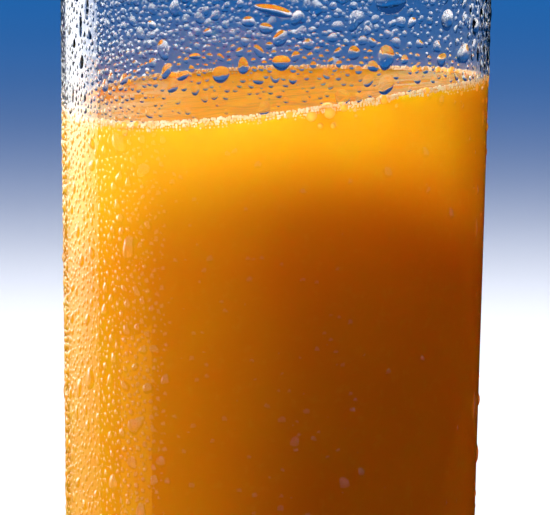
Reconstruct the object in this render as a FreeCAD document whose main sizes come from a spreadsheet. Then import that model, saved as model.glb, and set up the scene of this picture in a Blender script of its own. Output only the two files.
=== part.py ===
"""A clear highball glass, three quarters full of orange juice, as a parametric FreeCAD document.

The real object is two things. The glass is one turned wall on a thick base, and the juice fills
it to a level that is still swirling, so that it stands higher on one side. The glass is a
PartDesign body turned from half sections. The juice starts as the same cavity made solid, and
the air over its uneven surface is cut away.

Units are millimetres. The origin is the centre of the foot, +Z is up, and +X is the side on
which the juice stands highest.
"""

import FreeCAD, Part

import math
import os
from collections import namedtuple

import Sketcher

SIZES = {
    # the glass
    "height": (140.0, "foot to rim"),
    "rim_radius": (34.0, "outside of the rim"),
    "foot_radius": (31.4, "outside of the wall, run down to the foot plane"),
    "rim_wall": (1.15, "wall at the rim"),
    "floor_wall": (1.9, "wall beside the floor, taken from foot_radius"),
    "base_thickness": (9.0, "foot plane to the floor of the cavity"),
    "cavity_round": (7.0, "between the floor and the wall of the cavity"),
    "foot_round": (2.4, "outside edge of the foot"),
    "rim_round": (0.5, "both edges of the rim"),
    "rim_round_limit": (0.45, "most of the rim's wall that each of them may take"),
    "stand_width": (8.4, "from foot_radius in to the hollow under the foot"),
    "punt_depth": (1.6, "rise of that hollow at its centre"),
    "punt_round": (0.8, "lip of that hollow"),
    # the juice
    "fill_level": (104.0, "level of the juice above the foot plane, before it swirls"),
    "swirl_rise": (5.4, "height of the juice at +X above its height at -X"),
    "swirl_twist": (0.8, "rise at the wall, back left and front right, and fall between them"),
    "ripple_height": (0.25, "of the ripples where the juice was poured in"),
    "ripple_length": (8.5, "from one ripple to the next"),
    "ripple_reach": (14.0, "distance in which the ripples fade to a third"),
    "pour_x": (8.5, "where the juice was poured in"),
    "pour_y": (-10.5, "where the juice was poured in"),
    "meniscus_rise": (0.8, "climb of the juice up the wall"),
    "meniscus_reach": (2.0, "distance from the wall in which that climb fades to a third"),
}
SURFACE_STEP = 1.6  # spacing of the points that the juice's surface passes through
FULL_TURN = 360.0
NEAR = 1e-4  # two lengths this close are the same
VERTICAL_AXIS = -2  # a sketch's own axes
HORIZONTAL_AXIS = -1
Size = namedtuple("Size", "value expression")  # a sketch's dimension and what it is bound to
ON_AXIS = Size(0.0, "")  # no distance, so the point lies on the sketch's axis


def make_sheet(doc):
    """The driving dimensions, one row each: name, value, meaning."""
    sheet = doc.addObject("Spreadsheet::Sheet", "sizes")
    for row, (name, (value, meaning)) in enumerate(SIZES.items(), start=1):
        sheet.set(f"A{row}", name)
        sheet.set(f"B{row}", str(value))
        sheet.setAlias(f"B{row}", name)
        sheet.set(f"C{row}", meaning)
    doc.recompute()
    return sheet


def read(sheet, name):
    """The value of one cell."""
    return float(sheet.get(name))


def total(sheet, *terms):
    """A signed sum of cells, such as "rim_radius", "-rim_wall", as a Size."""
    value = 0.0
    expression = ""
    for term in terms:
        sign = -1 if term.startswith("-") else 1
        name = term.lstrip("-")
        value += sign * read(sheet, name)
        expression += f" {'-' if sign < 0 else '+'} sizes.{name}"
    return Size(value, expression.lstrip(" +"))


# --- sketches and turned features ---------------------------------------------------------------


def half_section(body, name):
    """An empty sketch on the body's XZ plane. Its vertical axis is the axis of the glass."""
    plane = next(p for p in body.Origin.OriginFeatures if p.Role == "XZ_Plane")
    sketch = body.newObject("Sketcher::SketchObject", name)
    sketch.AttachmentSupport = (plane, [""])
    sketch.MapMode = "FlatFace"
    return sketch


def pin_down(sketch, edge, place):
    """Ties the start of an edge to the origin, each way by a bound distance or onto an axis."""
    ways = zip(("DistanceX", "DistanceY"), (VERTICAL_AXIS, HORIZONTAL_AXIS), place)
    for kind, axis, size in ways:
        if not size.expression:
            sketch.addConstraint(Sketcher.Constraint("PointOnObject", edge, 1, axis))
            continue
        row = sketch.addConstraint(Sketcher.Constraint(kind, -1, 1, edge, 1, size.value))
        label = f"{kind}{edge}"
        sketch.renameConstraint(row, label)
        sketch.setExpression(f"Constraints.{label}", size.expression)


def dome_arc(start, crown):
    """The arc that climbs from start to crown, a point of the axis, with its centre on the axis."""
    rise = crown.y - start.y
    centre = FreeCAD.Vector(0, crown.y - (start.x**2 + rise**2) / (2 * rise), 0)
    circle = Part.Circle(centre, FreeCAD.Vector(0, 0, 1), crown.y - centre.y)
    start_angle = math.atan2(start.y - centre.y, start.x)
    return Part.ArcOfCircle(circle, start_angle, math.pi / 2)


def draw_outline(sketch, corners, dome_from=None):
    """A closed outline through corners, each a radius and a height: lines, and one dome."""
    points = [FreeCAD.Vector(radius.value, level.value, 0) for radius, level in corners]
    following = points[1:] + points[:1]
    for i, (start, end) in enumerate(zip(points, following)):
        edge = dome_arc(start, end) if i == dome_from else Part.LineSegment(start, end)
        sketch.addGeometry(edge, False)
    for i in range(len(points)):
        joined_to = (i + 1) % len(points)
        sketch.addConstraint(Sketcher.Constraint("Coincident", i, 2, joined_to, 1))
    for i, place in enumerate(corners):
        pin_down(sketch, i, place)
    if dome_from is not None:
        centre = 3
        sketch.addConstraint(
            Sketcher.Constraint("PointOnObject", dome_from, centre, VERTICAL_AXIS)
        )


def turned(body, kind, name, sketch):
    """A Revolution or a Groove of the sketch, all the way round its vertical axis."""
    feature = body.newObject(f"PartDesign::{kind}", name)
    feature.Profile = sketch
    feature.ReferenceAxis = (sketch, ["V_Axis"])
    feature.Angle = FULL_TURN
    body.Document.recompute()
    return feature


def ring_names(shape, radius, level):
    """Names of the shape's circular edges round the Z axis of this radius, at this height."""
    names = []
    for number, edge in enumerate(shape.Edges, start=1):
        if edge.Degenerated or not isinstance(edge.Curve, Part.Circle):
            continue
        circle = edge.Curve
        if math.hypot(circle.Radius - radius.value, circle.Center.z - level.value) < NEAR:
            names.append(f"Edge{number}")
    return names


def rounded(body, name, rings, size):
    """A Fillet of a bound size on circular edges of the body, each a radius and a height."""
    base = body.Tip
    names = [found for ring in rings for found in ring_names(base.Shape, *ring)]
    if len(names) < len(rings):
        raise RuntimeError(f"{name}: an edge to round is missing")
    fillet = body.newObject("PartDesign::Fillet", name)
    fillet.Base = (base, names)
    fillet.setExpression("Radius", size)
    body.Document.recompute()
    return fillet


# --- the glass ----------------------------------------------------------------------------------


def cavity_outline(sheet):
    """Corners of the inside of the glass, which the glass leaves open and the juice starts from."""
    floor = total(sheet, "base_thickness")
    floor_radius = total(sheet, "foot_radius", "-floor_wall")
    mouth = total(sheet, "height")
    mouth_radius = total(sheet, "rim_radius", "-rim_wall")
    return [(ON_AXIS, floor), (floor_radius, floor), (mouth_radius, mouth), (ON_AXIS, mouth)]


def make_glass(doc, sheet):
    """Turned outside with a hollow under the foot, then a cavity, then every edge rounded."""
    body = doc.addObject("PartDesign::Body", "glass")
    height = total(sheet, "height")
    rim = total(sheet, "rim_radius"), height
    foot = total(sheet, "foot_radius"), ON_AXIS
    punt_edge = total(sheet, "foot_radius", "-stand_width"), ON_AXIS
    punt_crown = ON_AXIS, total(sheet, "punt_depth")
    outside = half_section(body, "outside")
    draw_outline(outside, [punt_crown, (ON_AXIS, height), rim, foot, punt_edge], dome_from=4)
    solid_volume = turned(body, "Revolution", "turned_outside", outside).Shape.Volume

    cavity = half_section(body, "cavity")
    corners = cavity_outline(sheet)
    draw_outline(cavity, corners)
    hollowed = turned(body, "Groove", "hollowed", cavity)
    if hollowed.Shape.Volume > solid_volume / 2:
        raise RuntimeError("the cavity cuts too little out of the glass")

    floor_ring, mouth_ring = corners[1:3]
    rim_round = "min(sizes.rim_round; sizes.rim_wall * sizes.rim_round_limit)"
    rounded(body, "rounded_floor", [floor_ring], "sizes.cavity_round")
    rounded(body, "rounded_rim", [rim, mouth_ring], rim_round)
    rounded(body, "rounded_foot", [foot], "sizes.foot_round")
    rounded(body, "rounded_punt", [punt_edge], "sizes.punt_round")
    return body


# --- the juice ----------------------------------------------------------------------------------


def juice_radius(sheet):
    """Radius of the cavity at the fill level."""
    _, (low_radius, low), (high_radius, high), _ = cavity_outline(sheet)
    share = (read(sheet, "fill_level") - low.value) / (high.value - low.value)
    return low_radius.value + share * (high_radius.value - low_radius.value)


def juice_height(sheet, x, y):
    """Height of the juice's surface: a tilt, a twist, ripples and the climb at the wall."""
    radius = juice_radius(sheet)
    tilt = read(sheet, "swirl_rise") / 2 * x / radius
    twist = -read(sheet, "swirl_twist") * 2 * x * y / radius**2
    from_pour = math.hypot(x - read(sheet, "pour_x"), y - read(sheet, "pour_y"))
    ripple_turn = 2 * math.pi * from_pour / read(sheet, "ripple_length")
    ripple_fade = math.exp(-from_pour / read(sheet, "ripple_reach"))
    ripple = read(sheet, "ripple_height") * math.cos(ripple_turn) * ripple_fade
    from_wall = max(radius - math.hypot(x, y), 0)
    climb = read(sheet, "meniscus_rise") * math.exp(-from_wall / read(sheet, "meniscus_reach"))
    return read(sheet, "fill_level") + tilt + twist + ripple + climb


def make_air(doc, sheet):
    """The space over the juice: its surface, run past the wall all round, raised past the rim."""
    reach = read(sheet, "rim_radius")
    count = math.ceil(2 * reach / SURFACE_STEP) + 1
    places = [reach * (2 * i / (count - 1) - 1) for i in range(count)]
    grid = [[FreeCAD.Vector(x, y, juice_height(sheet, x, y)) for y in places] for x in places]
    surface = Part.BSplineSurface()
    surface.interpolate(grid)
    air = doc.addObject("Part::Feature", "air_over_juice")
    air.Shape = surface.toShape().extrude(FreeCAD.Vector(0, 0, read(sheet, "height")))
    return air


def make_juice(doc, sheet):
    """The cavity made solid, less the air over the surface."""
    filling = doc.addObject("PartDesign::Body", "filling")
    cavity = half_section(filling, "filled_cavity")
    corners = cavity_outline(sheet)
    draw_outline(cavity, corners)
    full_volume = turned(filling, "Revolution", "turned_filling", cavity).Shape.Volume
    floor_ring = corners[1]
    rounded(filling, "rounded_filling", [floor_ring], "sizes.cavity_round")
    juice = doc.addObject("Part::Cut", "juice")
    juice.Base = filling
    juice.Tool = make_air(doc, sheet)
    doc.recompute()
    if not 0 < juice.Shape.Volume < full_volume:
        raise RuntimeError("the air cuts nothing off the juice")
    return juice


# --- build, check, write ------------------------------------------------------------------------


def check(doc, pieces):
    """Stops the build at a failed object, or at a piece that isn't one sound solid."""
    for item in doc.Objects:
        if {"Invalid", "Error"} & set(item.State):
            raise RuntimeError(f"{item.Label} failed: {item.State}")
    for piece in pieces:
        shape = piece.Shape
        if shape.isNull() or not shape.isValid() or len(shape.Solids) != 1:
            raise RuntimeError(f"{piece.Label} isn't one sound solid")


def write(pieces):
    """Writes each piece to parts/LABEL.step and says what it measures."""
    os.makedirs("parts", exist_ok=True)
    for piece in pieces:
        piece.Shape.exportStep(f"parts/{piece.Label}.step")
        box = piece.Shape.BoundBox
        volume_ml = piece.Shape.Volume / 1000
        print(f"{piece.Label}: {box.XLength:.2f} x {box.YLength:.2f} x {box.ZLength:.2f} mm,")
        print(f"    z {box.ZMin:.2f} to {box.ZMax:.2f}, {volume_ml:.1f} ml")


def main():
    doc = FreeCAD.newDocument("glass_of_juice")
    sheet = make_sheet(doc)
    pieces = [make_glass(doc, sheet), make_juice(doc, sheet)]
    doc.recompute()
    check(doc, pieces)
    write(pieces)


main()
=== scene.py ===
# %% [markdown]
# # A glass of orange juice
# A tall clear glass, three quarters full of cloudy orange juice that is still swirling, so that it
# stands higher on one side. The glass is cold: water from the air has settled on it in thousands
# of drops, from a mist to long runs. Fine froth lies where the juice meets the wall.
#
# Everything here stands in metres, with the foot of the glass on z = 0. The camera looks along +Y at
# rest, and +X is the side on which the juice stands highest. First comes the frame: the CAD model
# that every piece is built around. Its boxes give the sizes below.

# %% Load the frame
import math
import random

import bmesh
import bpy
import numpy as np
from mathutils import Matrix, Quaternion, Vector, noise


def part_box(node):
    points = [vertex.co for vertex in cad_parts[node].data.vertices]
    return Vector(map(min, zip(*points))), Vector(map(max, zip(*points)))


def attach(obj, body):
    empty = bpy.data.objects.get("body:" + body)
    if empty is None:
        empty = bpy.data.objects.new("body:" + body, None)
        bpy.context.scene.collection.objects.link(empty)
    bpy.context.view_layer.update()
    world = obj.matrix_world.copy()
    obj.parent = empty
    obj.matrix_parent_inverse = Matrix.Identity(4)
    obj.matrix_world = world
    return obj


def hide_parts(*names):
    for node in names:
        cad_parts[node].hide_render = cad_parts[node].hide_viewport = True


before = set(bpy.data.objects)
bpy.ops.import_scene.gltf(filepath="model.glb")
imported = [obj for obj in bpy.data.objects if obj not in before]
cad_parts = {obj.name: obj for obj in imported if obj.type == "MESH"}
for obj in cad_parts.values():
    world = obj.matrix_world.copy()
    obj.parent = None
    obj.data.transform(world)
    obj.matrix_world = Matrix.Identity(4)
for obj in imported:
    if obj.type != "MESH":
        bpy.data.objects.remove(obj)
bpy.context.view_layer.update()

glass_low, glass_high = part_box("glass")
juice_low, juice_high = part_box("juice")
print("glass", [round(v, 4) for v in glass_high - glass_low], "juice up to", round(juice_high.z, 4))

# %% [markdown]
# ## The sizes
# The boxes of the two CAD pieces give the height, the rim and the floor of the cavity. Walls and
# rounded edges are inside those boxes, so their sizes are named again here. The juice's level is
# the same formula as in the CAD model: a tilt, a twist, fading ripples and a climb at the wall.

# %% Sizes
MM = 0.001
HEIGHT = glass_high.z
RIM_RADIUS = (glass_high.x - glass_low.x) / 2
FOOT_RADIUS = 31.4 * MM
RIM_WALL = 1.15 * MM
FLOOR_WALL = 1.9 * MM
FLOOR = juice_low.z
FILL = 104 * MM
INTO_WALL = 0.12 * MM  # how far the juice reaches into the glass, so that no air gap shows


def outer_radius(level):
    """Radius of the outside of the wall at a height."""
    return FOOT_RADIUS + (RIM_RADIUS - FOOT_RADIUS) * level / HEIGHT


def inner_radius(level):
    """Radius of the inside of the wall at a height."""
    low, high = FOOT_RADIUS - FLOOR_WALL, RIM_RADIUS - RIM_WALL
    return low + (high - low) * (level - FLOOR) / (HEIGHT - FLOOR)


JUICE_RADIUS = inner_radius(FILL)
SWIRL_RISE = 5.4 * MM
SWIRL_TWIST = 0.8 * MM
RIPPLE_HEIGHT, RIPPLE_LENGTH, RIPPLE_REACH = 0.25 * MM, 8.5 * MM, 14 * MM
POUR = (8.5 * MM, -10.5 * MM)
MENISCUS_RISE, MENISCUS_REACH = 0.8 * MM, 2 * MM


def juice_level(x, y):
    """Height of the juice's surface at a place, or at arrays of places."""
    tilt = SWIRL_RISE / 2 * x / JUICE_RADIUS
    twist = -SWIRL_TWIST * 2 * x * y / JUICE_RADIUS**2
    from_pour = np.hypot(x - POUR[0], y - POUR[1])
    ripple = np.cos(2 * math.pi * from_pour / RIPPLE_LENGTH) * np.exp(-from_pour / RIPPLE_REACH)
    from_wall = np.maximum(JUICE_RADIUS - np.hypot(x, y), 0)
    climb = MENISCUS_RISE * np.exp(-from_wall / MENISCUS_REACH)
    return FILL + tilt + twist + RIPPLE_HEIGHT * ripple + climb


ends = [float(juice_level(JUICE_RADIUS * side, 0)) / MM for side in (-1, 1)]
print("juice at the wall, mm:", [round(level, 1) for level in ends])

# %% [markdown]
# ## The camera
# A long lens far away keeps the sides of the glass nearly parallel. The camera stands a little
# above the juice and looks down by seven degrees, so that the surface shows as a flat ellipse. It
# is made first, because everything after it can be checked through it. The picture takes in the
# middle of the glass only, as a close view of a drink does.

# %% Camera
LOOK_DOWN = math.radians(7.3)
LEAN = math.radians(0.6)  # the picture is turned by this much
CAMERA_DISTANCE = 1.5
VIEW_WIDTH = 86.2 * MM  # what the frame spans at the axis of the glass
AIM = Vector((0.28 * MM, 0, 78.6 * MM))

camera = bpy.data.objects.new("camera", bpy.data.cameras.new("camera"))
bpy.context.scene.collection.objects.link(camera)
bpy.context.scene.camera = camera
camera.data.lens = camera.data.sensor_width * CAMERA_DISTANCE / VIEW_WIDTH
camera.data.clip_end = 20
back = Vector((0, -math.cos(LOOK_DOWN), math.sin(LOOK_DOWN)))
camera.location = AIM + back * CAMERA_DISTANCE
camera.rotation_mode = "QUATERNION"
camera.rotation_quaternion = (-back).to_track_quat("-Z", "Y") @ Quaternion((0, 0, 1), LEAN)
print("lens", round(camera.data.lens), "mm")

# %% [markdown]
# ## Helpers for turned pieces
# The glass and the juice are both turned: each has one outline on one side of the axis, carried
# all the way round. An outline starts as a few corner vertices joined by edges. A vertex bevel
# rounds a corner and a subdivision gives long runs more rings, and the spin operator does the
# rest. The poles on the axis come out as rings of coincident vertices, so they are merged.

# %% Turned pieces
TURN_STEPS = 224
POLE_MERGE = 0.001 * MM


def outline(corners):
    """A bmesh with one open chain of edges through corners, each a radius and a height."""
    mesh = bmesh.new()
    verts = [mesh.verts.new((radius, 0, level)) for radius, level in corners]
    for pair in zip(verts, verts[1:]):
        mesh.edges.new(pair)
    return mesh, verts


def round_corner(mesh, vert, radius, segments=6):
    """Rounds one corner of a chain to a radius. The bevel's offset is the tangent's length."""
    arms = [(edge.other_vert(vert).co - vert.co).normalized() for edge in vert.link_edges]
    tangent = radius / math.tan(arms[0].angle(arms[1]) / 2)
    bmesh.ops.bevel(
        mesh, geom=[vert], offset=tangent, offset_type="OFFSET", affect="VERTICES",
        segments=segments, profile=0.5, material=-1,
    )


def refine(mesh, spacing):
    """Divides the straight runs of a chain into steps of about that spacing."""
    for edge in [e for e in mesh.edges if e.calc_length() > 1.5 * spacing]:
        cuts = round(edge.calc_length() / spacing) - 1
        bmesh.ops.subdivide_edges(mesh, edges=[edge], cuts=max(cuts, 1))


def turn(mesh):
    """Spins the chain round the Z axis into a closed surface that faces outwards."""
    bmesh.ops.spin(
        mesh, geom=mesh.verts[:] + mesh.edges[:], cent=(0, 0, 0), axis=(0, 0, 1),
        angle=2 * math.pi, steps=TURN_STEPS, use_merge=True,
    )
    bmesh.ops.remove_doubles(mesh, verts=mesh.verts, dist=POLE_MERGE)
    bmesh.ops.recalc_face_normals(mesh, faces=mesh.faces)


# %% [markdown]
# ## Putting a piece in the scene
# Every piece ends in the same way. Its faces get their shading and the mesh its material, and an
# object at the origin carries it and rides with the model. One helper does this for mesh data, and
# another first turns a bmesh into mesh data.

# %% Placing pieces
def finish_piece(name, mesh, material):
    """Makes the bmesh an object that rides with the model, smooth all over."""
    data = bpy.data.meshes.new(name)
    mesh.to_mesh(data)
    mesh.free()
    return place(name, data, material)


def place(name, data, material, smooth=True):
    """Puts mesh data in the scene as a piece of the object. smooth is for all faces, or for each."""
    data.polygons.foreach_set("use_smooth", np.resize(smooth, len(data.polygons)))
    data.materials.append(material)
    piece = bpy.data.objects.new(name, data)
    bpy.context.scene.collection.objects.link(piece)
    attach(piece, "root")
    data.calc_loop_triangles()
    print(name, "has", len(data.loop_triangles), "triangles")
    return piece


# %% [markdown]
# ## Helpers for nodes
# A material is a small tree of nodes, and each socket either has a plain value or is linked to
# another node's output. These helpers keep the recipes below short: one gives a socket what it
# needs, whichever of the two it is, one adds a node with all its values, and three add the nodes
# that come up most, for a sum, for a ramp from a number to a colour, and for a mix of two colours.

# %% Node helpers
def give(tree, socket, value):
    """Links a socket to another node's output, or sets it to a plain value."""
    if isinstance(value, bpy.types.NodeSocket):
        tree.links.new(value, socket)
    else:
        socket.default_value = value


def add(tree, kind, **values):
    """A new node of a kind. Values name its sockets, or its own settings where no socket fits."""
    made = tree.nodes.new(f"ShaderNode{kind}")
    for name, value in values.items():
        socket = made.inputs.get(name.replace("_", " "))
        if socket is None:
            setattr(made, name, value)
        else:
            give(tree, socket, value)
    return made


def calculate(tree, operation, *values, kind="Math"):
    """The result of a Math or VectorMath node over its values, in order."""
    made = add(tree, kind, operation=operation)
    for socket, value in zip(made.inputs, values):
        give(tree, socket, value)
    return made.outputs[0]


def ramp(tree, factor, *stops):
    """A colour from a ramp over a factor. A stop is a position and a colour, in order."""
    made = add(tree, "ValToRGB", Fac=factor)
    elements = made.color_ramp.elements
    for element, (position, colour) in zip(elements, (stops[0], stops[-1])):
        element.position = position
        element.color = (*colour, 1)
    for position, colour in stops[1:-1]:
        elements.new(position).color = (*colour, 1)
    return made.outputs["Color"]


def mix(tree, factor, first, second):
    """Two colours mixed. Of a Mix node's many sockets, 6 and 7 take the colours and 2 gives one."""
    made = add(tree, "Mix", data_type="RGBA", Factor=factor)
    give(tree, made.inputs[6], first)
    give(tree, made.inputs[7], second)
    return made.outputs[2]


# %% [markdown]
# ## Helpers for materials and groups
# One helper gives a fresh material with only a Principled BSDF and its values. Two more make a
# node group and place it. A group is a part of a recipe that several materials share.

# %% Material and group helpers
def new_material(name, **values):
    """A material of one Principled BSDF with its values, and the tree, the BSDF and the output."""
    material = bpy.data.materials.new(name)
    material.use_nodes = True
    tree = material.node_tree
    tree.nodes.clear()
    output = add(tree, "OutputMaterial")
    principled = add(tree, "BsdfPrincipled", **values)
    tree.links.new(principled.outputs["BSDF"], output.inputs["Surface"])
    return material, tree, principled, output


def new_group(name, inputs, outputs):
    """A node group with named float inputs, as name: default, and outputs, as name: type."""
    group = bpy.data.node_groups.new(name, "ShaderNodeTree")
    for socket, default in inputs.items():
        made = group.interface.new_socket(socket, in_out="INPUT", socket_type="NodeSocketFloat")
        made.default_value = default
    for socket, kind in outputs.items():
        group.interface.new_socket(socket, in_out="OUTPUT", socket_type=f"NodeSocket{kind}")
    return group, group.nodes.new("NodeGroupInput"), group.nodes.new("NodeGroupOutput")


def use_group(tree, group, **values):
    """Places a node group in a tree with its own values."""
    made = tree.nodes.new("ShaderNodeGroup")
    made.node_tree = group
    for name, value in values.items():
        made.inputs[name.replace("_", " ")].default_value = value
    return made


# %% [markdown]
# ## Uneven surfaces
# No blown or pressed glass is perfectly even, and neither is a film of water or the skin of a
# liquid. One group makes that unevenness for all of them: a soft noise in the object's own
# coordinates, stretched up and down the wall, that a Bump node turns into small leans of the
# surface. Glass, water and juice each use it with their own size.

# %% Unevenness group
unevenness, given, result = new_group(
    "soft unevenness", {"Size mm": 10.0, "Stretch": 0.5}, {"Height": "Float"}
)
coordinates = add(unevenness, "TexCoord")
finer = calculate(unevenness, "DIVIDE", 1 / MM, given.outputs["Size mm"])
squeeze = add(unevenness, "CombineXYZ", X=1.0, Y=1.0)
unevenness.links.new(given.outputs["Stretch"], squeeze.inputs["Z"])
stretched = calculate(
    unevenness, "MULTIPLY", coordinates.outputs["Object"], squeeze.outputs[0], kind="VectorMath"
)
waves = add(unevenness, "TexNoise", Vector=stretched, Scale=finer, Detail=1.0, Roughness=0.4)
unevenness.links.new(waves.outputs["Fac"], result.inputs["Height"])
print("group", unevenness.name, "made")

# %% [markdown]
# ## Clear glass and clear water
# Both are the same recipe with other numbers: a Principled BSDF with full transmission, a smooth
# surface, and the index of the stuff, 1.5 for glass and 1.333 for water. Glass also swallows a
# little red and blue light over its depth, which a Volume Absorption gives, so that the thick base
# and the edges look faintly green. A renderer can't find lamps through real refraction, so rays
# that ask for shadow go straight through: a Mix Shader behind Light Path's Is Shadow Ray does it.

# %% Clear materials
def clear_material(name, index, waviness, size_mm, stretch):
    """Glass or water that lets the light of lamps through. waviness is how deep its waves are."""
    material, tree, principled, output = new_material(
        name, Base_Color=(1, 1, 1, 1), Transmission_Weight=1, Roughness=0, IOR=index
    )
    uneven = use_group(tree, unevenness, Size_mm=size_mm, Stretch=stretch)
    bump = add(tree, "Bump", Strength=1.0, Distance=waviness, Height=uneven.outputs["Height"])
    tree.links.new(bump.outputs["Normal"], principled.inputs["Normal"])
    through = add(tree, "BsdfTransparent")
    path = add(tree, "LightPath")
    either = add(tree, "MixShader")
    tree.links.new(path.outputs["Is Shadow Ray"], either.inputs[0])
    tree.links.new(principled.outputs["BSDF"], either.inputs[1])
    tree.links.new(through.outputs["BSDF"], either.inputs[2])
    tree.links.new(either.outputs[0], output.inputs["Surface"])
    return material


clear_glass = clear_material("clear glass", 1.5, 0.02 * MM, 16.0, 0.3)
tree = clear_glass.node_tree
absorbs = add(tree, "VolumeAbsorption", Color=(0.25, 0.7, 0.5, 1), Density=12.0)
tree.links.new(absorbs.outputs["Volume"], tree.nodes["Material Output"].inputs["Volume"])
water = clear_material("clear water", 1.333, 0.01 * MM, 1.2, 1.0)
print("clear materials made")

# %% [markdown]
# ## The glass
# The outline runs from the middle of the hollow under the foot, round the foot, up the outside,
# over the rim, down the inside and back to the axis along the floor. Seven corners say it all,
# and five of them are rounded. The hollow is a shallow dome. The CAD glass has the same shape, but
# its mesh has flat facets, which would break up every reflection, so this finer one replaces it.

# %% Glass
STAND_WIDTH = 8.4 * MM
PUNT_DEPTH = 1.6 * MM
CAVITY_ROUND = 7 * MM
FOOT_ROUND = 2.4 * MM
RIM_ROUND = 0.5 * MM
PUNT_ROUND = 0.8 * MM
WALL_SPACING = 2.2 * MM

punt_edge = FOOT_RADIUS - STAND_WIDTH
mesh, corners = outline([
    (0, PUNT_DEPTH), (punt_edge, 0), (FOOT_RADIUS, 0), (RIM_RADIUS, HEIGHT),
    (RIM_RADIUS - RIM_WALL, HEIGHT), (FOOT_RADIUS - FLOOR_WALL, FLOOR), (0, FLOOR),
])
for corner, radius in zip(corners[1:6], (PUNT_ROUND, FOOT_ROUND, RIM_ROUND, RIM_ROUND, CAVITY_ROUND)):
    round_corner(mesh, corner, radius)
refine(mesh, WALL_SPACING)
for vert in mesh.verts:
    if vert.co.z < PUNT_DEPTH and vert.co.x < punt_edge - PUNT_ROUND:
        vert.co.z = PUNT_DEPTH * (1 - (vert.co.x / punt_edge) ** 2)
turn(mesh)
glass = finish_piece("clear_tumbler", mesh, clear_glass)
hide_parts("glass")

# %% [markdown]
# ## Juice
# Orange juice is cloudy: light goes in, scatters between bits of pulp and comes out yellow-orange
# after a short way and red-brown after a long one. Its colour isn't even. The top two centimetres
# hold fine air and are paler. The same paling, with a deeper tone further down, is also painted light
# and shade for the light that comes in through the top. The side towards +X, away from the key lamp,
# gets a deeper tone as painted shade. Slow swirls drift through the juice, and bits of pulp show as
# pale flecks. A group works that colour out from the place in the juice: the depth below the level,
# the distance along X and a soft noise choose a tone from a ramp, and a finer noise adds the flecks.

# %% Juice colour group
# The paler top is partly airy juice and partly painted light; the deeper tone below it is painted
# shade.
PALING_REACH = 24 * MM  # how deep under the surface the juice stays paler
# Painted shade: the +X side, away from the key lamp, is given a deeper tone.
SHADED_SIDE_SHIFT = 0.2  # how much deeper the tone gets from the middle to +X
SWIRL_SHIFT = 0.2

cloudy, given, result = new_group("cloudy juice", {"Flecks": 0.5}, {"Color": "Color"})
coordinates = add(cloudy, "TexCoord")
parts = add(cloudy, "SeparateXYZ", Vector=coordinates.outputs["Object"])
# Painted light and shade: paler near the surface, deeper further down.
depth = calculate(cloudy, "SUBTRACT", FILL, parts.outputs["Z"])
share = add(cloudy, "MapRange", Value=depth, From_Max=PALING_REACH, To_Min=0.1, To_Max=0.5)
# Painted shade: the tone deepens towards +X, the side away from the key lamp.
aside = calculate(
    cloudy, "MULTIPLY_ADD", parts.outputs["X"], SHADED_SIDE_SHIFT / JUICE_RADIUS, share.outputs["Result"]
)
swirl = add(
    cloudy, "TexNoise", Vector=coordinates.outputs["Object"], Scale=38.0, Detail=3.0,
    Roughness=0.55, Distortion=1.4,
)
drift = calculate(cloudy, "MULTIPLY_ADD", swirl.outputs["Fac"], SWIRL_SHIFT, aside)
tone = ramp(
    cloudy, drift, (0.1, (0.985, 0.50, 0.022)), (0.35, (0.97, 0.46, 0.010)),
    (0.6, (0.96, 0.31, 0.005)), (0.88, (0.93, 0.20, 0.003)),
)
pulp = add(
    cloudy, "TexNoise", Vector=coordinates.outputs["Object"], Scale=700.0, Detail=2.0,
    Roughness=0.6,
)
fleck = add(cloudy, "MapRange", Value=pulp.outputs["Fac"], From_Min=0.56, From_Max=0.74)
amount = calculate(cloudy, "MULTIPLY", fleck.outputs["Result"], given.outputs["Flecks"])
flecked = mix(cloudy, amount, tone, (1.0, 0.62, 0.06, 1))
cloudy.links.new(flecked, result.inputs["Color"])
print("group", cloudy.name, "made")

# %% [markdown]
# ## The two juice materials
# A real cloud of scattering is slow to render, so the juice is a surface with subsurface
# scattering, which sends light a way through the inside before it comes out. The radius is long
# for red and short for blue, so that the side away from the lamp glows red-brown. Where the juice
# touches the glass it has no shine of its own. Where it is open to the air it is wet and has small
# waves, but its shine is kept low, because a flat view would mirror the sky in it like a sheet.

# %% Juice materials
SCATTER_RATIO = (1.0, 0.38, 0.1)  # red, green, blue
SCATTER_SCALE = 20 * MM


def juice_material(name, shine, flecks, bump_mm, size_mm):
    """Cloudy juice, with the shine of a wet surface or with none."""
    material, tree, principled, _ = new_material(
        name, Subsurface_Weight=1, Subsurface_Radius=SCATTER_RATIO, Subsurface_Scale=SCATTER_SCALE,
        Roughness=0.08 if shine else 0.6, IOR=1.35, Specular_IOR_Level=0.004 if shine else 0.0,
    )
    colour = use_group(tree, cloudy, Flecks=flecks)
    tree.links.new(colour.outputs["Color"], principled.inputs["Base Color"])
    uneven = use_group(tree, unevenness, Size_mm=size_mm, Stretch=1.0)
    bump = add(tree, "Bump", Strength=1.0, Distance=bump_mm * MM, Height=uneven.outputs["Height"])
    tree.links.new(bump.outputs["Normal"], principled.inputs["Normal"])
    return material


juice_in_glass = juice_material("juice against the glass", False, 0.1, 0.02, 3.0)
juice_surface = juice_material("juice open to the air", True, 0.2, 0.25, 2.6)
print("juice materials made")

# %% [markdown]
# ## Foam on the surface
# Foam that the pour has made drifts to both sides and is drawn out into streaks by the swirl. It is
# too thin to have a shape, so it is colour only: a noise, drawn out along X so that its spots become
# streaks, times a mask that grows from the middle towards the wall. Under the foam the surface is
# painted a deeper, redder tone than the juice behind the glass: a painted shade that darkens the open
# top.

# %% Foam streaks
FOAM_FROM, FOAM_FULL = 12 * MM, 30 * MM  # distance from the middle, along X
SQUEEZE = (0.35, 1, 1)  # coordinates squeezed along X draw a pattern out along it
TOP_SHADE_SHARE = 0.8  # the share of the deeper tone

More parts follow.
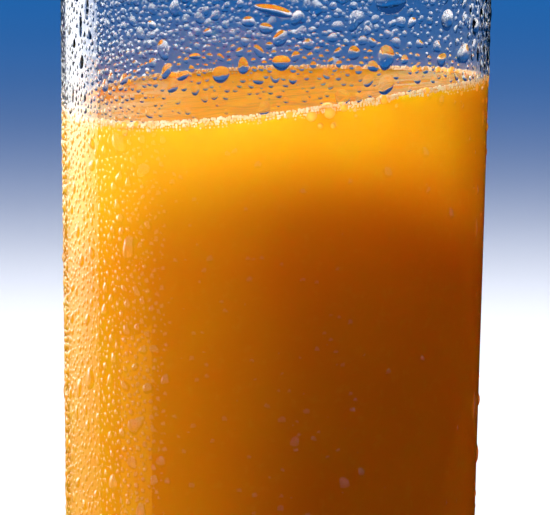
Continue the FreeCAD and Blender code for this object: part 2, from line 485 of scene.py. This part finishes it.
tree = juice_surface.node_tree
principled = tree.nodes["Principled BSDF"]
coordinates = add(tree, "TexCoord")
parts = add(tree, "SeparateXYZ", Vector=coordinates.outputs["Object"])
outwards = calculate(tree, "ABSOLUTE", parts.outputs["X"])
near_wall = add(tree, "MapRange", Value=outwards, From_Min=FOAM_FROM, From_Max=FOAM_FULL)
drawn_out = calculate(
    tree, "MULTIPLY", coordinates.outputs["Object"], SQUEEZE, kind="VectorMath"
)
lather = add(tree, "TexNoise", Vector=drawn_out, Scale=260.0, Detail=3.0, Roughness=0.6)
streaks = add(tree, "MapRange", Value=lather.outputs["Fac"], From_Min=0.42, From_Max=0.62)
foamy = calculate(tree, "MULTIPLY", near_wall.outputs["Result"], streaks.outputs["Result"])
juice_colour = principled.inputs["Base Color"].links[0].from_socket
# Painted shade: the open surface is mixed towards a deeper, redder tone than the juice behind the
# glass.
deep = mix(tree, TOP_SHADE_SHARE, juice_colour, (0.97, 0.22, 0.003, 1))
topped = mix(tree, foamy, deep, (1.0, 0.60, 0.30, 1))
tree.links.new(topped, principled.inputs["Base Color"])
print("foam runs from", FOAM_FROM, "to", FOAM_FULL, "off the middle")

# %% [markdown]
# ## The juice's shape
# The outline is the inside of the glass, a hair wider and deeper, closed by a level top. After
# the spin the top is lifted, vertex by vertex, to the formula of the level, and the rings of the
# wall below follow it less and less, so that they stay evenly spaced. The faces of the top are
# told from those of the wall while it is still level, and get the wet material.

# %% Juice
FOLLOW_DEPTH = 30 * MM
JUICE_SPACING = 1.1 * MM

mesh, corners = outline([
    (0, FILL), (inner_radius(FILL) + INTO_WALL, FILL),
    (FOOT_RADIUS - FLOOR_WALL + INTO_WALL, FLOOR - INTO_WALL), (0, FLOOR - INTO_WALL),
])
round_corner(mesh, corners[2], CAVITY_ROUND)
refine(mesh, JUICE_SPACING)
turn(mesh)
for face in mesh.faces:
    face.material_index = int(face.normal.z > 0.9)
for vert in mesh.verts:
    x, y, z = vert.co
    share = min(max((z - FILL + FOLLOW_DEPTH) / FOLLOW_DEPTH, 0), 1)  # 0 deep down, 1 at the top
    lifted = z + (float(juice_level(x, y)) - FILL) * share
    reach = (inner_radius(lifted) + INTO_WALL) / (inner_radius(z) + INTO_WALL)
    vert.co = (x * reach, y * reach, lifted)
juice = finish_piece("cloudy_juice", mesh, juice_in_glass)
juice.data.materials.append(juice_surface)
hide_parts("juice")

# %% [markdown]
# ## Where the drops sit
# Drops settle one by one wherever there is room, so they are dealt out the same way: the largest
# kinds first, each at a random place, and a place too near an earlier drop is left. The wall isn't
# wet all over. A slow noise makes patches, one strip towards +X is nearly dry, the back is drier
# than the front, and drops thin out near the rim, which is the warmest part. Below the level of
# the juice only the side of -X has them, as if the rest had been wiped by a hand.

# %% How wet the wall is
DRY_RIM = 13 * MM
DRY_FOOT, FOOT_FADE = 3 * MM, 6 * MM
DRY_SIDE, DRY_WIDTH = 0.68, 0.25  # the strip's middle and width, as the sine of the angle
BACK_SHARE = 0.35  # how wet the back is, where the front is 1
PATCH_SIZE = 25 * MM
WIPED_ABOVE, WIPED_FADE = 5 * MM, 1.2 * MM  # the wiped part ends a little above the level
KEPT_FROM, KEPT_FADE = 0.74, 0.12  # and keeps its drops from here to -X, where 1 is -X


def beside_juice(level):
    """1 where the juice stands behind the wall and 0 above it, with a soft step between."""
    return 1 / (1 + np.exp((level - FILL - WIPED_ABOVE) / WIPED_FADE))


def wetness(angle, level):
    """From 0, dry, to 1, wet, at a place on the wall."""
    aside, forwards = math.sin(angle), math.cos(angle)
    spot = Vector((1.6 * aside, -1.6 * forwards, level / PATCH_SIZE))
    patchy = 0.7 + 0.6 * noise.noise(spot)
    patchy *= 1 - 0.8 * math.exp(-((aside - DRY_SIDE) / DRY_WIDTH) ** 2)
    patchy *= BACK_SHARE + (1 - BACK_SHARE) / (1 + math.exp(-8 * forwards))
    towards_rim = min(max((HEIGHT - level) / DRY_RIM - 0.35, 0), 1)
    off_the_foot = min(max((level - DRY_FOOT) / FOOT_FADE, 0), 1)
    kept = min(max((0.5 - 0.5 * aside - KEPT_FROM) / KEPT_FADE, 0.01), 1)
    wiped = beside_juice(level) * (1 - kept)
    return min(max(patchy, 0.1), 1) * towards_rim * off_the_foot * (1 - wiped)


# %% [markdown]
# ## Room between drops
# Thousands of drops can't each be held against all the others. So the wall is ruled into cells,
# and a drop is noted in every cell where a later one might touch it. To find a new drop's near
# neighbours, it is enough to look into the one cell that holds its middle.

# %% Dealing out drops
TRIES = 14  # places tried for each drop wanted
CELL = 1.5 * MM
COLUMNS = round(2 * math.pi * FOOT_RADIUS / CELL)
dealt = {}


def cells_within(angle, level, reach):
    """The cells of the wall that lie within reach of a place. The columns close round the glass."""
    column = angle / (2 * math.pi) * COLUMNS
    spread = reach / CELL
    for i in range(math.floor(column - spread), math.floor(column + spread) + 1):
        for j in range(math.floor((level - reach) / CELL), math.floor((level + reach) / CELL) + 1):
            yield i % COLUMNS, j


def has_room(angle, level, radius, spread):
    """Whether a drop clears its neighbours. spread is the least distance in summed radii."""
    (cell,) = cells_within(angle, level, 0)
    for other_angle, other_level, other_radius in dealt.get(cell, ()):
        across = math.remainder(angle - other_angle, 2 * math.pi) * outer_radius(level)
        if math.hypot(across, level - other_level) < spread * (radius + other_radius):
            return False
    return True


def settle(angle, level, radius, largest, spread=1.1):
    """Keeps a drop's place in every cell where a later drop, up to the largest, might touch it."""
    for cell in cells_within(angle, level, spread * (radius + largest)):
        dealt.setdefault(cell, []).append((angle, level, radius))


def deal(chance, count, smallest, largest, spread, to_left):
    """Deals out up to count drops with radii between two sizes, more small ones than large.

    to_left is the kind's liking for the side of -X, from -1 for the other side to 1."""
    places = []
    for _ in range(count * TRIES):
        if len(places) == count:
            break
        angle = chance.uniform(-math.pi, math.pi)
        level = chance.uniform(0, HEIGHT)
        radius = smallest + (largest - smallest) * chance.random() ** 1.5
        likely = wetness(angle, level) * (1 - to_left * math.sin(angle)) / (1 + abs(to_left))
        if chance.random() > likely or not has_room(angle, level, radius, spread):
            continue
        settle(angle, level, radius, largest, spread)
        places.append((angle, level, radius))
    return np.array(places)


# %% [markdown]
# ## The shape of a drop
# A drop on glass is a cap of a sphere. One cap is made with operators: a sphere, cut by a plane
# and closed, then scaled to a radius and a height of 1. Its round side is smooth and its flat side
# isn't. Few faces are enough for a cap that is a millimetre across.

# %% A cap
FLAT_SIDE = -0.9  # a face whose normal points further down than this is the flat side


def cap_template(around, rings, part=6):
    """Vertices and faces of a cap of radius 1 and height 1, flat side down at z = 0.

    The cap is cut off where the sphere has turned by a half turn over part, so a small part
    makes a steep edge."""
    mesh = bmesh.new()
    bmesh.ops.create_uvsphere(mesh, u_segments=around, v_segments=part * rings, radius=1)
    low = math.cos(math.pi / part)
    bmesh.ops.bisect_plane(
        mesh, geom=mesh.verts[:] + mesh.edges[:] + mesh.faces[:], dist=1e-4,
        plane_co=(0, 0, low), plane_no=(0, 0, 1), clear_inner=True,
    )
    bmesh.ops.contextual_create(mesh, geom=[e for e in mesh.edges if e.is_boundary])
    bmesh.ops.translate(mesh, verts=mesh.verts, vec=(0, 0, -low))
    wide = 1 / math.sin(math.pi / part)
    bmesh.ops.scale(mesh, verts=mesh.verts, vec=(wide, wide, 1 / (1 - low)))
    bmesh.ops.recalc_face_normals(mesh, faces=mesh.faces)
    mesh.verts.index_update()
    verts = np.array([v.co for v in mesh.verts])
    faces = [[v.index for v in face.verts] for face in mesh.faces]
    smooth = [face.normal.z > FLAT_SIDE for face in mesh.faces]
    mesh.free()
    return verts, faces, smooth


# %% [markdown]
# ## Many copies in one mesh
# Thousands of objects would be slow, and an array modifier can't give each copy its own form. So a
# kind of drops is one mesh made from arrays: the cap's faces, times the drops, over vertices that
# are already in place.
#
# The rim between the round and the flat side is marked sharp. If the two shared their normals
# there, each drop would bend light as if its edge stood upright.

# %% Joining copies
def joined(name, verts, faces, smooth, material, rim=None):
    """One mesh of many copies. verts is copies x vertices x 3, and faces are those of one copy.

    rim says which vertices of a copy lie on its sharp rim, where the shading breaks."""
    copies, per_copy, _ = verts.shape
    sizes = np.array([len(face) for face in faces])
    corner_of_one = np.concatenate(faces)
    corners = (corner_of_one[None, :] + per_copy * np.arange(copies)[:, None]).ravel()
    totals = np.tile(sizes, copies)
    starts = np.concatenate([[0], np.cumsum(totals)[:-1]])
    data = bpy.data.meshes.new(name)
    data.vertices.add(copies * per_copy)
    data.vertices.foreach_set("co", verts.ravel())
    data.loops.add(len(corners))
    data.loops.foreach_set("vertex_index", corners.astype(np.int32))
    data.polygons.add(len(totals))
    data.polygons.foreach_set("loop_start", starts.astype(np.int32))
    data.update(calc_edges=True)
    data.validate()
    if rim is not None:
        ends = np.empty(2 * len(data.edges), dtype=np.int32)
        data.edges.foreach_get("vertices", ends)
        on_rim = np.tile(rim, copies)[ends].reshape(-1, 2)
        data.edges.foreach_set("use_edge_sharp", on_rim.all(axis=1))
    return place(name, data, material, smooth)


# %% [markdown]
# ## A kind of drops
# No two drops are alike, and none is a true cap: water hangs, clings and runs together. Each one
# is stretched, leans to one side, bulges downwards and gets its own wavy outline. Its flat side is
# bent to the wall and sunk a little into it, so that light passes straight from water to glass.

# %% Drops on the wall
SINK = 0.02 * MM  # how deep the flat side lies in the wall
RIM_BELOW = 0.001  # vertices of the cap below this height lie on its rim
FULL_TURN = 6.3  # radians, near enough for a random phase
SAG = 0.22  # how far the middle of a drop hangs down, over its radius


def on_wall(angle, level, out):
    """Points of the outside of the wall, moved outwards."""
    radius = outer_radius(level) + out
    return np.stack([radius * np.sin(angle), -radius * np.cos(angle), level], axis=-1)


def drops(name, places, template, height, wavy, draws, tall=None, lean=None):
    """A joined piece of drops, one for each place.

    height is how far a drop stands out over its radius, tall its height on the wall over its
    width, and lean how far its top leans to the side. tall and lean are drawn where not given."""
    cap, faces, smooth = template
    angle, level, radius = (column[:, None] for column in places.T)

    def draw(low, high):
        return draws.uniform(low, high, (len(places), 1))

    across, up, out = (cap[None, :, i] for i in range(3))
    turn_by = np.arctan2(up, across)
    outline_wave = 1 + wavy * (
        draw(0.3, 1) * np.cos(2 * turn_by + draw(0, FULL_TURN))
        + draw(0.2, 0.8) * np.cos(3 * turn_by + draw(0, FULL_TURN))
    )
    tall = 1 + wavy * draw(-0.5, 1.6) if tall is None else tall[:, None]
    lean = draw(-0.25, 0.25) if lean is None else lean[:, None]
    sag = SAG * out * (1 - out)
    u = across * outline_wave + lean * up
    v = up * outline_wave * tall - sag * (0.6 + tall)
    w = out * height * draw(0.8, 1.15)
    points = on_wall(angle + u * radius / outer_radius(level), level + v * radius, w * radius - SINK)
    piece = joined(name, points, faces, smooth, water, rim=cap[:, 2] < RIM_BELOW)
    return piece


# %% [markdown]
# ## The drops that stand out
# A few drops are large enough to be told apart, so each has its own line: where it sits, in degrees
# from the front and millimetres above the foot, half its width and height, and how far it leans.
# They come before the dealt ones, which then keep off them. Beside them a few drops have grown too
# heavy and are running down the side, two or three times as tall as wide. A tall drop is noted as
# a chain of round ones, so that later drops keep off its whole length.

# %% Single drops
SINGLE_DROPS = (  # angle, level, half width, half height, lean
    (32.0, 122.4, 3.0, 2.4, 0.0), (-0.5, 120.9, 2.3, 1.1, -0.9), (52.0, 118.4, 1.5, 1.7, 0.1),
    (30.5, 113.4, 1.4, 2.0, 0.0), (30.6, 109.2, 1.4, 1.6, 0.1), (1.6, 112.9, 1.35, 1.25, 0.0),
    (-14.4, 110.9, 1.35, 1.3, 0.0), (-8.4, 112.3, 0.8, 1.35, 0.0), (-29.8, 111.0, 0.9, 1.25, 0.5),
    (-25.0, 110.4, 1.0, 0.75, 0.5), (-21.5, 113.5, 0.95, 0.5, 0.2), (-30.8, 114.2, 1.1, 1.6, -0.1),
    (-27.4, 120.7, 0.8, 1.4, 0.0), (-2.5, 118.1, 1.1, 0.9, 0.0), (-7.1, 119.1, 1.0, 0.9, 0.1),
    (1.2, 116.6, 1.1, 1.3, 0.2), (-4.3, 114.6, 0.75, 1.0, -0.5), (-18.0, 117.2, 0.7, 0.7, 0.0),
    (-34.3, 117.9, 0.8, 0.7, -0.2), (5.5, 119.8, 0.9, 1.2, 0.4), (38.5, 118.5, 0.8, 0.9, 0.2),
    (90.0, 48.0, 1.1, 1.5, 0.0), (78.0, 116.0, 0.8, 1.7, 0.0), (70.0, 112.4, 0.7, 1.5, 0.0),
)
RUNS = 16
LARGEST = 1.8 * MM  # no later drop has a larger radius
chance = random.Random(11)
draws = np.random.default_rng(5)
single = np.array(SINGLE_DROPS)
runs = np.array([
    (chance.uniform(55, 300), chance.uniform(25, 120), chance.uniform(0.6, 0.9),
     chance.uniform(1.4, 2.6), 0) for _ in range(RUNS)
])
for piece_name, sizes in (("single_drops", single), ("running_drops", runs)):
    places = np.column_stack([np.radians(sizes[:, 0]), sizes[:, 1] * MM, sizes[:, 2] * MM])
    tall = sizes[:, 3] / sizes[:, 2]
    drops(piece_name, places, cap_template(28, 7, 3), 0.28, 0.07, draws, tall, sizes[:, 4])
    for (angle, level, radius), longer in zip(places, tall):
        for step in np.linspace(-1, 1, 5):
            middle = level + step * max(longer - 1, 0) * radius
            settle(angle, middle, radius, LARGEST)

# %% [markdown]
# ## The dealt drops
# Five kinds, from large drops to a mist. The side of -X has more and finer drops, the other side
# fewer and larger ones, as on a glass that has stood in a slow draught. Small kinds get few faces
# each, because there are thousands of them.
#
# How far drops stand out decides what they show, since each is a small lens. Flat ones on the
# clear wall bend light by a few degrees: their tops show the pale foreground of the backdrop and
# their bottoms its deep blue. Beside the cold juice and towards -X they stand out twice as far.

# %% Dealt drops
PLUMP_FROM, PLUMP_TO = -0.8, -0.965  # the sine of the angle


def plumpness(places, flat, plump):
    """Height over radius: flat on the clear wall, plump beside the juice and towards -X."""
    angle, level, _ = places.T
    aside = np.sin(angle)
    past_start = 1 / (1 + np.exp((aside - PLUMP_FROM) / 0.04))
    before_end = 1 / (1 + np.exp((PLUMP_TO - aside) / 0.008))
    return (flat + (plump - flat) * np.maximum(beside_juice(level), past_start * before_end))[:, None]


KINDS = (  # name, most, radii in mm, spread, liking for -X, cap, flat, plump, wavy
    ("large_drops", 90, (1.0, 1.7), 1.1, -0.7, (28, 7, 4), 0.20, 0.20, 0.16),
    ("medium_drops", 1500, (0.58, 1.0), 1.02, -0.75, (16, 4), 0.16, 0.30, 0.12),
    ("small_drops", 9000, (0.38, 0.58), 1.02, 0.3, (10, 2), 0.15, 0.30, 0.06),
    ("fine_drops", 9000, (0.22, 0.38), 1.03, 0.85, (8, 2), 0.15, 0.28, 0.05),
    ("mist_drops", 5000, (0.12, 0.22), 1.1, 0.85, (6, 2), 0.15, 0.28, 0.04),
)
for piece_name, most, (smallest, largest), spread, to_left, cap, flat, plump, wavy in KINDS:
    places = deal(chance, most, smallest * MM, largest * MM, spread, to_left)
    print(len(places), piece_name)
    height = plumpness(places, flat, plump)
    drops(piece_name, places, cap_template(*cap), height, wavy, draws)

# %% [markdown]
# ## Froth
# Pouring beats air into the juice. The finest bubbles gather where the surface meets the glass, in
# a row or two of cream beads that follows the waterline all the way round. Froth scatters light
# better than juice does, so it is paler, from cream to peach. A little emission stands for the
# light that reaches a bead through the juice behind it, which scattering inside one bead can't.

# %% Froth material
froth_material, tree, principled, _ = new_material(
    "froth", Roughness=0.12, IOR=1.33,
    Subsurface_Weight=0.4, Subsurface_Radius=(1.0, 0.8, 0.6), Subsurface_Scale=0.3 * MM,
    Emission_Color=(1.0, 0.55, 0.2, 1), Emission_Strength=0.18,
)
coordinates = add(tree, "TexCoord")
patches = add(tree, "TexNoise", Vector=coordinates.outputs["Object"], Scale=900.0, Detail=1.0)
cream = ramp(tree, patches.outputs["Fac"], (0.35, (1.0, 0.56, 0.24)), (0.6, (1.0, 0.80, 0.56)))
tree.links.new(cream, principled.inputs["Base Color"])
print("froth material made")

# %% [markdown]
# ## The rows of beads
# A bead is a small round ball with few faces, and they are joined as the drops are. They poke out
# of the juice into the wall by a fraction of their size, because only what lies against the glass
# can be seen through it. Two full rows lie at the waterline, and two broken ones of smaller beads
# hang below, thicker where a slow noise says so.

# %% Froth
BEAD_POKE = 0.4  # the share of a bead's radius that stands out of the juice
DEEPEST_POKE = 0.3 * MM  # and the most that a large bubble may


def ball_template(around, rings):
    """Vertices and faces of a ball of radius 1."""
    mesh = bmesh.new()
    bmesh.ops.create_uvsphere(mesh, u_segments=around, v_segments=rings, radius=1)
    mesh.verts.index_update()
    verts = np.array([v.co for v in mesh.verts])
    faces = [[v.index for v in face.verts] for face in mesh.faces]
    mesh.free()
    return verts, faces, [True] * len(faces)


def beads(name, places, template, material):
    """Balls against the inside of the wall.

    A place is an angle, a height over the waterline and a radius."""
    ball, faces, smooth = template
    angle, above, radius = places.T
    x, y = JUICE_RADIUS * np.sin(angle), -JUICE_RADIUS * np.cos(angle)
    level = juice_level(x, y) + above
    out = inner_radius(level) + INTO_WALL - radius + np.minimum(BEAD_POKE * radius, DEEPEST_POKE)
    middle = np.stack([out * np.sin(angle), -out * np.cos(angle), level], axis=-1)
    points = middle[:, None, :] + ball[None] * radius[:, None, None]
    piece = joined(name, points, faces, smooth, material)
    return piece


def froth_places(row_offset, count, smallest, largest, spare):
    """A row of beads along the waterline. spare is the share of the row that stays empty."""
    kept = []
    for step in range(count):
        angle = (step + chance.uniform(-0.35, 0.35)) / count * 2 * math.pi
        gap = 0.5 + 0.9 * noise.noise((9 * math.sin(angle), 9 * math.cos(angle), row_offset * 900))
        if gap < spare:
            continue
        radius = chance.uniform(smallest, largest)
        kept.append((angle, row_offset + chance.uniform(-0.3, 0.3) * largest, radius))
    return kept


rows = (
    froth_places(0.22 * MM, 440, 0.20 * MM, 0.34 * MM, 0.0)
    + froth_places(-0.16 * MM, 480, 0.20 * MM, 0.36 * MM, 0.0)
    + froth_places(-0.55 * MM, 420, 0.14 * MM, 0.30 * MM, 0.3)
    + froth_places(-1.00 * MM, 300, 0.10 * MM, 0.24 * MM, 0.55)
)
beads("froth", np.array(rows), ball_template(8, 5), froth_material)

# %% [markdown]
# ## Larger bubbles
# Here and there a larger bubble leans on the glass at the waterline or hangs just below it. Its
# film is thin juice over air, so it is paler than the juice and glossier. As with the froth, some
# emission stands for the light that comes through the juice behind it.

# %% Bubble material
bubble_material, tree, principled, _ = new_material(
    "bubble film", Roughness=0.05, IOR=1.4,
    Subsurface_Weight=1, Subsurface_Radius=(1.0, 0.7, 0.3), Subsurface_Scale=3.0 * MM,
    Emission_Color=(1.0, 0.38, 0.02, 1), Emission_Strength=0.5,
)
coordinates = add(tree, "TexCoord")
patches = add(tree, "TexNoise", Vector=coordinates.outputs["Object"], Scale=300.0, Detail=1.0)
film = ramp(tree, patches.outputs["Fac"], (0, (1.0, 0.38, 0.03)), (1, (1.0, 0.52, 0.12)))
tree.links.new(film, principled.inputs["Base Color"])
print("bubble material made")

# %% [markdown]
# ## Where the bubbles sit
# The bubbles in front each have their own line, as the single drops do. The rest are drawn at
# random round the sides and the back.

# %% Bubbles
SINGLE_BUBBLES = (  # angle, height over the waterline, radius
    (10.0, -0.9, 1.3), (15.0, -0.8, 1.5), (12.5, -2.6, 0.55), (16.0, -2.9, 0.5), (19.0, -0.3, 0.9),
    (4.0, -0.3, 0.7), (22.5, -1.9, 0.35), (-3.0, -0.2, 0.6), (-20.0, -0.5, 0.55), (-24.5, -0.9, 0.45),
    (31.0, -0.2, 0.8), (35.0, -1.4, 0.4), (46.0, 0.0, 0.6),
)
REST_OF_BUBBLES = 46

bubble_places = [(math.radians(a), b * MM, r * MM) for a, b, r in SINGLE_BUBBLES]
for _ in range(REST_OF_BUBBLES):
    bubble_places.append((
        chance.uniform(math.radians(60), math.radians(320)), chance.uniform(-1.6, 0.1) * MM,
        chance.uniform(0.3, 0.9) * MM,
    ))
beads("bubbles", np.array(bubble_places), ball_template(24, 14), bubble_material)

# %% [markdown]
# ## The floor
# A wide pale floor with a faint grain. It stays out of mirror images and off diffuse bounces, as
# if black cards stood round the glass: a pale floor would veil the juice with its reflection.

# %% Floor
floor_material, tree, principled, _ = new_material(
    "pale floor", Roughness=0.7, Specular_IOR_Level=0.2
)
coordinates = add(tree, "TexCoord")
grain = add(tree, "TexNoise", Vector=coordinates.outputs["Object"], Scale=9.0, Detail=2.0)
pale = ramp(tree, grain.outputs["Fac"], (0, (0.72, 0.74, 0.77)), (1, (0.77, 0.79, 0.82)))
tree.links.new(pale, principled.inputs["Base Color"])

mesh = bmesh.new()
bmesh.ops.create_grid(mesh, x_segments=1, y_segments=1, size=6)
floor_data = bpy.data.meshes.new("floor")
mesh.to_mesh(floor_data)
mesh.free()
floor_data.materials.append(floor_material)
floor = bpy.data.objects.new("floor", floor_data)
floor.visible_glossy = False
floor.visible_diffuse = False
bpy.context.scene.collection.objects.link(floor)
print("floor laid")

# %% [markdown]
# ## The key softbox
# Clear things are drawn by what stands around them, so each lamp says whether mirrors see it. The
# key is a tall softbox behind the left side. It lights the juice from there and is the long white
# streak down the wall, whose sharp inner edge is the edge of the softbox. The streak is brightest
# above the juice and turns soft and warm beside it, so the key's own nodes dim its lower end. A
# narrow spread keeps its light off the floor in front.

# %% Key softbox
def lamp(name, place, aim, size, power, colour=(1, 1, 1), spread=180, mirrored=False):
    """An area lamp that is never seen directly, and in mirror images only where it is told."""
    data = bpy.data.lights.new(name, "AREA")
    data.shape = "RECTANGLE"
    data.size, data.size_y = size
    data.energy = power
    data.color = colour
    data.spread = math.radians(spread)
    made = bpy.data.objects.new(name, data)
    made.location = place
    made.rotation_mode = "QUATERNION"
    made.rotation_quaternion = (Vector(aim) - Vector(place)).to_track_quat("-Z", "Y")
    made.visible_camera = False
    made.visible_glossy = mirrored
    made.visible_transmission = False
    bpy.context.scene.collection.objects.link(made)
    return made


key = lamp(
    "softbox_key", (-0.288, 0.2375, 0.22), (0, 0.012, 0.22), (0.2935, 0.60), 0.66,
    spread=70, mirrored=True,
)
key.data.use_nodes = True
tree = key.data.node_tree
across = add(tree, "NewGeometry")
parts = add(tree, "SeparateXYZ", Vector=across.outputs["Parametric"])
dimmed = ramp(
    tree, parts.outputs["Y"], (0.12, (0.16, 0.145, 0.07)), (0.205, (0.46, 0.43, 0.30)),
    (0.25, (1, 1, 1)),
)
tree.links.new(dimmed, tree.nodes["Emission"].inputs["Color"])
print("key of", key.data.energy, "W")

# %% [markdown]
# ## The other lamps
# Three lamps light the juice from the left, the right and above, and a small one picks out its
# upper right edge. The lamp above is mirrored too, for glints on drops and bubbles. A low warm
# card gives the second, fainter panel beside the streak, and lies under the floor's level, so that
# only mirrors find it. Two very small lamps light the waterline and the froth from the front. The
# last two light the floor behind the glass: white close by and blue far away, where only the far
# lamp reaches, so the floor itself becomes the backdrop that fades from white to blue.

# %% Other lamps
lamp("light_left", (-0.5, 0.0, 0.25), (0, 0, 0.07), (0.4, 0.4), 0.80, spread=70)
lamp("light_right", (0.8, 0.3, 0.4), (0, 0, 0.07), (0.5, 0.5), 0.06)
lamp(
    "light_top_right", (0.13, -0.05, 0.17), (0.032, -0.010, 0.1095), (0.02, 0.02), 0.0010,
    spread=13,
)
lamp("light_above", (0.0, 0.08, 0.20), (0, 0, 0.1), (0.12, 0.12), 0.19, mirrored=True)
lamp(
    "card_low", (-0.455, -0.09, -0.058), (0.005, -0.02, -0.058), (0.18, 0.11), 0.12,
    colour=(1.0, 0.62, 0.05), mirrored=True,
)
lamp("light_front", (0.0, -0.06, 0.16), (0.0, -0.03, 0.112), (0.09, 0.02), 0.012, spread=90)
lamp(
    "light_waterline", (0.01, -0.16, 0.17), (0.003, -0.032, 0.1035), (0.09, 0.006), 0.003,
    spread=9,
)
lamp("light_behind", (0, 0.42, 0.28), (0, 0.33, 0.0), (0.9, 0.3), 3.4, colour=(1.0, 0.95, 0.87))
lamp("light_far", (0, 2.0, 1.2), (0, 1.0, 0.0), (2.0, 1.0), 15.5, colour=(0.02, 0.32, 1.0))

# %% [markdown]
# ## The sky
# A dim blue sky behind and a nearly black one in front. Drops show it in their lower halves. Light
# takes many turns between the drops, the two faces of the wall and the juice, so the renderer is
# allowed more bounces than usual. The Standard view keeps the yellows clean.

# %% Sky
world = bpy.data.worlds.new("studio")
bpy.context.scene.world = world
world.use_nodes = True
tree = world.node_tree
tree.nodes.clear()
coordinates = add(tree, "TexCoord")
parts = add(tree, "SeparateXYZ", Vector=coordinates.outputs["Generated"])
behind = add(tree, "MapRange", Value=parts.outputs["Y"], From_Min=-0.1, From_Max=0.6)
blue = ramp(tree, behind.outputs["Result"], (0, (0.004, 0.006, 0.012)), (1, (0.012, 0.07, 0.26)))
sky = add(tree, "Background", Color=blue, Strength=1.0)
tree.links.new(sky.outputs["Background"], add(tree, "OutputWorld").inputs["Surface"])
world.cycles_visibility.glossy = False

bounces = bpy.context.scene.cycles
bounces.max_bounces = 20
bounces.transmission_bounces = 20
bounces.transparent_max_bounces = 24
bpy.context.scene.view_settings.view_transform = "Standard"
print("up to", bounces.max_bounces, "bounces")
